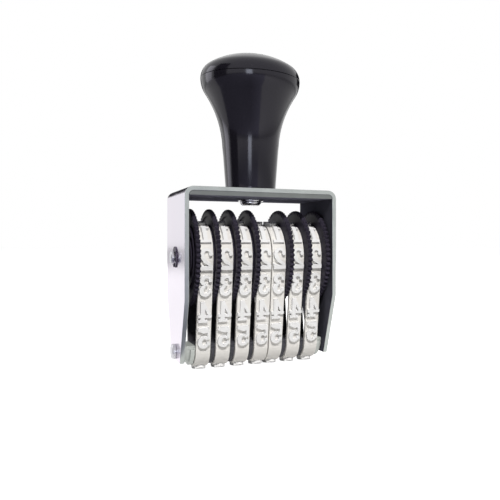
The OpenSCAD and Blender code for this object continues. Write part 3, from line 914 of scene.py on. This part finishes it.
# Bold figures with heavy uprights, fine level strokes and round ends, in millimetres, reading
# the right way round. A line is ("line", points, half widths), a bow is ("bow", centre, radii,
# from, to, left, right) with angles in degrees and its half widths at the sides, and a ball is
# ("ball", centre, radius).
HEAVY, FINE = 0.60, 0.36
BOW_STEP = 12               # degrees from point to point of a bow
BOW_SWELL = 1.3             # how late a bow swells towards its sides
FIGURE_STROKES = {
    "0": [
        ("bow", (0, 0), (1.22, 2.55), -95, 95, HEAVY, HEAVY),
        ("bow", (0, 0), (1.22, 2.55), 85, 275, HEAVY, HEAVY),
    ],
    "1": [
        ("line", [(0, -2.85), (0, 2.85)], [HEAVY, HEAVY]),
        ("line", [(-1.6, -2.55), (1.6, -2.55)], [FINE, FINE]),
        ("line", [(-1.4, 1.75), (-0.1, 2.5)], [0.26, 0.42]),
    ],
    "2": [
        ("ball", (-1.15, 1.4), 0.54),
        ("bow", (0, 1.2), (1.25, 1.35), 170, -35, 0.35, HEAVY),
        ("line", [(1.12, 0.55), (0.45, -0.5), (-0.85, -1.35), (-1.5, -1.9)], [0.56, 0.48, 0.4, 0.32]),
        ("line", [(-1.8, -2.4), (1.8, -2.35)], [0.55, 0.6]),
        ("line", [(1.68, -2.0), (1.74, -1.35)], [0.26, 0.16]),
    ],
    "3": [
        ("ball", (-1.18, 1.6), 0.5),
        ("bow", (-0.05, 1.56), (1.15, 0.99), 165, -80, 0.3, 0.62),
        ("bow", (0, -1.3), (1.15, 1.25), 80, -165, 0.32, 0.62),
        ("line", [(-0.4, 0.26), (0.35, 0.26)], [0.3, 0.3]),
        ("ball", (-1.2, -1.6), 0.5),
    ],
    "4": [
        ("line", [(0.62, -2.85), (0.62, 2.85)], [0.6, 0.6]),
        ("line", [(0.45, 2.55), (-1.35, -0.85)], [0.38, 0.4]),
        ("line", [(-1.88, -1.2), (1.88, -1.2)], [0.38, 0.38]),
        ("line", [(-0.8, -2.54), (1.85, -2.54)], [FINE, FINE]),
    ],
    "5": [
        ("line", [(-1.3, 2.2), (0.2, 2.15), (1.75, 2.5)], [0.72, 0.75, 0.42]),
        ("line", [(-1.2, 2.4), (-1.24, -0.35)], [0.32, 0.3]),
        ("bow", (0, -1.2), (1.15, 1.35), 150, -165, 0.32, 0.62),
        ("ball", (-1.2, -1.62), 0.5),
    ],
    "6": [
        ("bow", (0, -1.16), (1.2, 1.38), -95, 95, HEAVY, HEAVY),
        ("bow", (0, -1.16), (1.2, 1.38), 85, 275, HEAVY, HEAVY),
        ("bow", (0.05, 0), (1.26, 2.55), 215, 48, HEAVY, 0.32),
        ("ball", (1.15, 1.75), 0.5),
    ],
    "7": [
        ("line", [(-1.8, 2.33), (1.8, 2.33)], [0.6, 0.6]),
        ("line", [(-1.62, 2.0), (-1.7, 1.2)], [0.3, 0.2]),
        ("line", [(1.5, 2.2), (0.45, 0.3), (0.05, -2.85)], [0.36, 0.5, HEAVY]),
    ],
    "8": [
        ("bow", (0, 1.44), (1.02, 1.12), -95, 95, 0.62, 0.62),
        ("bow", (0, 1.44), (1.02, 1.12), 85, 275, 0.62, 0.62),
        ("bow", (0, -1.26), (1.2, 1.3), -95, 95, HEAVY, HEAVY),
        ("bow", (0, -1.26), (1.2, 1.3), 85, 275, HEAVY, HEAVY),
    ],
    ".": [("ball", (0, -2.2), 0.62)],
    "-": [("line", [(-1.4, 0), (1.4, 0)], [0.42, 0.42])],
}
DESIGN_W, DESIGN_H = 3.9, 5.9       # overall size of a figure in the table, in millimetres


def bow_line(centre, radii, start, end, left, right):
    """A bow as a line of points, fine where it lies level and wider towards its two sides."""
    steps = max(4, round(abs(end - start) / BOW_STEP))
    points, widths = [], []
    for i in range(steps + 1):
        angle = math.radians(start + (end - start) * i / steps)
        across, up = math.cos(angle), math.sin(angle)
        points.append((centre[0] + radii[0] * across, centre[1] + radii[1] * up))
        side = right if across > 0 else left
        widths.append(FINE + (side - FINE) * abs(across) ** BOW_SWELL)
    return points, widths


def rounded(co):
    """A point's place across and along, as a key that two corners one over the other share."""
    return (round(co.x, 5), round(co.y, 5))


def stroke_solid(points, widths, band):
    """One stroke of a figure as a closed strip with sloping walls, flat and facing up."""
    bpy.ops.mesh.primitive_grid_add(x_subdivisions=1, y_subdivisions=len(points) - 1, size=1)
    strip = bpy.context.object
    rows = sorted(strip.data.vertices, key=lambda v: (round(v.co.y, 6), v.co.x))
    corners = [(rows[2 * i].index, rows[2 * i + 1].index) for i in range(len(points))]
    sides = []
    for i, point in enumerate(points):
        ahead = Vector(points[min(i + 1, len(points) - 1)]) - Vector(points[max(i - 1, 0)])
        sides.append(Vector((ahead.y, -ahead.x)).normalized())
    edit(strip)
    bpy.ops.mesh.extrude_region_move(TRANSFORM_OT_translate={"value": (0, 0, -1)})
    leave_edit()
    low = {rounded(v.co): v.index for v in strip.data.vertices if v.co.z < -0.5}
    pairs = [[(i, low[rounded(strip.data.vertices[i].co)]) for i in both] for both in corners]
    spread = band.slope / MM
    for i, (pair, point, side, half) in enumerate(zip(pairs, points, sides, widths)):
        along = Vector((-side.y, side.x)) * ((i == len(points) - 1) - (i == 0))
        for sign, (face, root) in zip((-1, 1), pair):
            at = Vector(point) + side * sign * half
            strip.data.vertices[face].co = (at.x * MM, at.y * MM, band.relief)
            at += side * sign * spread + along * spread
            strip.data.vertices[root].co = (at.x * MM, at.y * MM, -band.root)
    return strip


def ball_solid(centre, radius, band):
    """The round end of a stroke, with the same sloping walls."""
    bpy.ops.mesh.primitive_cone_add(
        vertices=28,
        radius1=radius * MM + band.slope,
        radius2=radius * MM,
        depth=band.relief + band.root,
        location=(centre[0] * MM, centre[1] * MM, (band.relief - band.root) / 2),
    )
    ball = bpy.context.object
    bpy.ops.object.transform_apply(location=True, rotation=True, scale=True)
    return ball


def drawn_stroke(stroke, band):
    """One stroke of the table as a closed solid, whatever its kind."""
    kind, *shape = stroke
    deselect()
    if kind == "ball":
        solid = ball_solid(*shape, band)
    else:
        points, widths = shape if kind == "line" else bow_line(*shape)
        solid = stroke_solid(points, widths, band)
    edit(solid)
    bpy.ops.mesh.normals_make_consistent(inside=False)
    leave_edit()
    return solid


def fused(solids):
    """Several solids made one."""
    whole = solids[0]
    for other in solids[1:]:
        joint = whole.modifiers.new("Union", "BOOLEAN")
        joint.operation = "UNION"
        joint.solver = "EXACT"
        joint.object = other
        apply_modifiers(whole)
        bpy.data.objects.remove(other)
    return whole


def figure_mesh(band, text):
    """A figure's solid, from its face down to its root in the belt, flat and backwards."""
    turned_six = text == "9"
    strokes = FIGURE_STROKES["6" if turned_six else text]
    figure = fused([drawn_stroke(stroke, band) for stroke in strokes])
    wide = band.figure_w / (DESIGN_W * MM + 2 * band.slope) * (1 if turned_six else -1)
    tall = band.figure_h / (DESIGN_H * MM + 2 * band.slope) * (-1 if turned_six else 1)
    for vertex in figure.data.vertices:
        x, y, z = vertex.co
        vertex.co = (x * wide, y * tall, z)
    edit(figure)
    bpy.ops.mesh.remove_doubles(threshold=WELD)
    bpy.ops.mesh.normals_make_consistent(inside=False)
    leave_edit()
    return figure


class STAMP_OT_bands(bpy.types.Operator):
    """Moulds one band with its figures and copies it to each wheel"""

    bl_idname = "stamp.bands"
    bl_label = "Rubber bands"

    def execute(self, context):
        pattern = band_pattern(context.scene.stamp_band)
        for k in range(1, WHEELS + 1):
            take(pattern)
            bpy.ops.object.duplicate()
            copy = bpy.context.object
            copy.location.x = middle(f"band_{k}").x
            settle(copy, f"figure_band_{k}")
            smooth(copy, 40)
            finish_piece(copy, FRAME_BODY, "band_rubber", f"band_{k}")
        bpy.data.objects.remove(pattern)
        return {"FINISHED"}


def band_pattern(band):
    """One band, moulded flat with its figures and then laid round its path."""
    path = BandPath(band)
    belt = flat_belt(band, path)
    front = [0.0] + [band.print_gap + i * band.pitch for i in range(len(FRONT_FIGURES) - 1)]
    back = [-band.print_gap - i * band.pitch for i in range(len(BACK_FIGURES))]
    figures = []
    for text, s in zip(FRONT_FIGURES + BACK_FIGURES, front + back):
        figure = figure_mesh(band, text)
        cut_across(figure, band.step)
        figure.location.y = s
        figures.append(figure)
    deselect()
    for piece in [belt, *figures]:
        piece.select_set(True)
    bpy.context.view_layer.objects.active = belt
    bpy.ops.object.join()
    settle(belt, "band_pattern")
    for vertex in belt.data.vertices:
        y, z = path.place(vertex.co.y, vertex.co.z)
        vertex.co = (vertex.co.x, y, z)
    edit(belt)
    bpy.ops.mesh.remove_doubles(threshold=WELD)
    leave_edit()
    return belt


def cut_across(piece, step):
    """Cuts a flat figure at equal steps along the run, so that it can bend."""
    edit(piece)
    ys = [v.co.y for v in piece.data.vertices]
    low, high = min(ys), max(ys)
    cuts = max(2, round((high - low) / step))
    for i in range(1, cuts):
        cut((0, low + (high - low) * i / cuts, 0), (0, 1, 0))
    leave_edit()


# ---------- stage ----------


CAMERA_PLACE = (-0.0585, -0.1988, 0.03906)
CAMERA_HEADING = 26.49      # degrees from straight ahead
CAMERA_LENS = 46.5
CAMERA_SHIFT = (-0.2312, -0.02)
AMBIENT = 0.13              # even light from all round
FLOOR_WHITE = 0.87          # light that the floor adds where it is seen
FLOOR_MIRRORED = 0.42       # light that it adds in gloss, where the real one is a little darker
CARD_TONE = 0.015           # brightness of the darkest cards
CARD_BLUE = 1.3             # how much more blue than red a card sends back


def stage_camera():
    """The camera of the photograph, level, with the frame's crop as its shift."""
    data = bpy.data.cameras.new("photo_camera")
    data.lens = CAMERA_LENS
    data.sensor_width = 36
    data.shift_x, data.shift_y = CAMERA_SHIFT
    data.clip_start = 0.01
    data.clip_end = 20
    camera = bpy.data.objects.new("photo_camera", data)
    camera.location = CAMERA_PLACE
    camera.rotation_euler = (math.radians(90), 0, -math.radians(CAMERA_HEADING))
    bpy.context.scene.collection.objects.link(camera)
    bpy.context.scene.camera = camera


def seen_or_mirrored(tree):
    """1 for a ray of the camera, of gloss or of glass, and 0 for one that carries plain light."""
    rays = tree.nodes.new("ShaderNodeLightPath")
    either = rays.outputs["Is Camera Ray"]
    for other in ("Is Glossy Ray", "Is Transmission Ray"):
        larger = tree.nodes.new("ShaderNodeMath")
        larger.operation = "MAXIMUM"
        tree.links.new(either, larger.inputs[0])
        tree.links.new(rays.outputs[other], larger.inputs[1])
        either = larger.outputs[0]
    return either


def stage_world():
    """Even light all round, with a white background where it is seen or mirrored."""
    world = bpy.data.worlds.new("studio")
    bpy.context.scene.world = world
    world.use_nodes = True
    tree = world.node_tree
    tree.nodes.clear()
    clear = seen_or_mirrored(tree)
    ambient = tree.nodes.new("ShaderNodeBackground")
    ambient.inputs["Color"].default_value = (0.96, 0.98, 1.0, 1)
    ambient.inputs["Strength"].default_value = AMBIENT
    white = tree.nodes.new("ShaderNodeBackground")
    white.inputs["Color"].default_value = (1, 1, 1, 1)
    white.inputs["Strength"].default_value = 1.0
    mix = tree.nodes.new("ShaderNodeMixShader")
    tree.links.new(clear, mix.inputs["Fac"])
    tree.links.new(ambient.outputs[0], mix.inputs[1])
    tree.links.new(white.outputs[0], mix.inputs[2])
    out = tree.nodes.new("ShaderNodeOutputWorld")
    tree.links.new(mix.outputs[0], out.inputs["Surface"])


def beside_camera(left_degrees, distance, height):
    """A place seen from the stamp at an angle to the left of the camera."""
    angle = math.radians(270 - CAMERA_HEADING - left_degrees)
    return (distance * math.cos(angle), distance * math.sin(angle), height)


def soft_light(name, place, face, power, tint, aim_z=0.05, unseen_by=None):
    """A lamp with a flat face of a width and height, aimed at a height over the stamp's middle."""
    data = bpy.data.lights.new(name, "AREA")
    data.shape = "RECTANGLE"
    data.size, data.size_y = face
    data.energy = power
    data.color = tint
    light = bpy.data.objects.new(name, data)
    light.location = place
    light.rotation_euler = (Vector((0, 0, aim_z)) - Vector(place)).to_track_quat("-Z", "Y").to_euler()
    light.visible_camera = False
    if unseen_by:
        setattr(light, f"visible_{unseen_by}", False)
    bpy.context.scene.collection.objects.link(light)


def stage_floor(tone):
    """A pale floor that reads as white where nothing shades it."""
    bpy.ops.mesh.primitive_circle_add(vertices=96, radius=3.0, fill_type="NGON", location=(0, 0, 0))
    floor = bpy.context.object
    settle(floor, "floor")
    material = bpy.data.materials.new("Pale Floor")
    material.use_nodes = True
    tree = material.node_tree
    shader = tree.nodes["Principled BSDF"]
    shader.inputs["Base Color"].default_value = (*tone, 1)
    shader.inputs["Roughness"].default_value = 0.9
    shader.inputs["Specular IOR Level"].default_value = 0.1
    glow = tree.nodes.new("ShaderNodeEmission")
    rays = tree.nodes.new("ShaderNodeLightPath")
    light = multiply_add(tree, rays.outputs["Is Camera Ray"], FLOOR_WHITE, 0.0)
    light = multiply_add(tree, rays.outputs["Is Transmission Ray"], FLOOR_WHITE, light)
    light = multiply_add(tree, rays.outputs["Is Glossy Ray"], FLOOR_MIRRORED, light)
    tree.links.new(light, glow.inputs["Strength"])
    both = tree.nodes.new("ShaderNodeAddShader")
    tree.links.new(shader.outputs[0], both.inputs[0])
    tree.links.new(glow.outputs[0], both.inputs[1])
    tree.links.new(both.outputs[0], tree.nodes["Material Output"].inputs["Surface"])
    floor.data.materials.append(material)


def dark_card(name, corners, tone=CARD_TONE):
    """A dark card that only gloss sees, as a photographer sets up beside a shiny thing."""
    bpy.ops.mesh.primitive_plane_add(size=1)
    card = bpy.context.object
    for vertex, corner in zip(card.data.vertices, corners):
        vertex.co = corner
    settle(card, name)
    for ray in ("camera", "diffuse", "shadow", "transmission"):
        setattr(card, f"visible_{ray}", False)
    material = bpy.data.materials.new(name)
    material.use_nodes = True
    shader = material.node_tree.nodes["Principled BSDF"]
    shader.inputs["Base Color"].default_value = (tone, tone, CARD_BLUE * tone, 1)
    shader.inputs["Roughness"].default_value = 1.0
    shader.inputs["Specular IOR Level"].default_value = 0.0
    card.data.materials.append(material)


def stage_cards():
    """Dark cards round the stamp, which its glossy faces mirror.

    A plane's corners come row by row: near left, near right, far left, far right.
    """
    dark_card("left_card", [beside_camera(a, 0.6, z) for z in (0.006, 0.7) for a in (80, 44)])
    sides = (78, -14, -21, -28, -35, -42)
    rings = (0.035, 0.6, 0.9, 1.6)
    first_tone, side_step, ring_step = 0.28, 0.06, 0.14
    over_floor = 0.004
    for i, (left, right) in enumerate(zip(sides, sides[1:])):
        for j, (near, far) in enumerate(zip(rings, rings[1:])):
            corners = [beside_camera(a, r, over_floor) for r in (near, far) for a in (left, right)]
            tone = first_tone + side_step * i + ring_step * j
            dark_card(f"low_card_{i + 1}_{j + 1}", corners, tone)
    dark_card("back_card", [beside_camera(a, 0.9, z) for z in (0.16, 0.42) for a in (145, 215)])


class STAMP_OT_stage(bpy.types.Operator):
    """Sets up the floor, the lights, the cards, the world and the camera"""

    bl_idname = "stamp.stage"
    bl_label = "Stage"

    def execute(self, context):
        stage_camera()
        stage_world()
        stage_floor(context.scene.stamp_finish.floor)
        warm, lilac, blue = (1.0, 0.985, 0.97), (0.93, 0.92, 1.0), (0.86, 0.93, 1.0)
        soft_light("key_box", beside_camera(-18, 0.58, 0.54), (0.07, 0.07), 5.5, warm, unseen_by="glossy")
        soft_light("left_box", beside_camera(99, 0.8, 0.16), (0.34, 0.9), 1.8, lilac)
        strip_at = beside_camera(-7, 0.85, 0.09)
        soft_light("front_strip", strip_at, (0.2, 0.3), 1.15, blue, aim_z=0.09, unseen_by="diffuse")
        soft_light("back_box", beside_camera(172, 0.7, 0.42), (0.3, 0.3), 3.4, warm, unseen_by="glossy")
        stage_cards()
        return {"FINISHED"}


class STAMP_PT_panel(bpy.types.Panel):
    bl_idname = "STAMP_PT_panel"
    bl_label = "Numbering Stamp"
    bl_space_type = "VIEW_3D"
    bl_region_type = "UI"
    bl_category = "Stamp"

    def draw(self, context):
        column = self.layout.column(align=True)
        for operator in BUILD_OPERATORS:
            column.operator(operator.bl_idname)


BUILD_OPERATORS = (
    STAMP_OT_stage,
    STAMP_OT_frame,
    STAMP_OT_axle,
    STAMP_OT_handle,
    STAMP_OT_wheels,
    STAMP_OT_bands,
)
PROPERTY_GROUPS = {
    "stamp_handle": StampHandleSizes,
    "stamp_band": StampBandSizes,
    "stamp_disc": StampDiscSizes,
    "stamp_finish": StampFinish,
}


def register():
    for group in PROPERTY_GROUPS.values():
        bpy.utils.register_class(group)
    for operator in BUILD_OPERATORS:
        bpy.utils.register_class(operator)
    bpy.utils.register_class(STAMP_PT_panel)
    for name, group in PROPERTY_GROUPS.items():
        setattr(bpy.types.Scene, name, PointerProperty(type=group))


def unregister():
    for name in PROPERTY_GROUPS:
        delattr(bpy.types.Scene, name)
    bpy.utils.unregister_class(STAMP_PT_panel)
    for operator in reversed(BUILD_OPERATORS):
        bpy.utils.unregister_class(operator)
    for group in reversed(PROPERTY_GROUPS.values()):
        bpy.utils.unregister_class(group)


def main():
    register()
    bpy.context.scene.view_settings.view_transform = "Standard"
    bpy.ops.stamp.stage()
    bpy.ops.stamp.frame()
    bpy.ops.stamp.axle()
    bpy.ops.stamp.handle()
    bpy.ops.stamp.wheels()
    bpy.ops.stamp.bands()


if __name__ == "__main__":
    main()
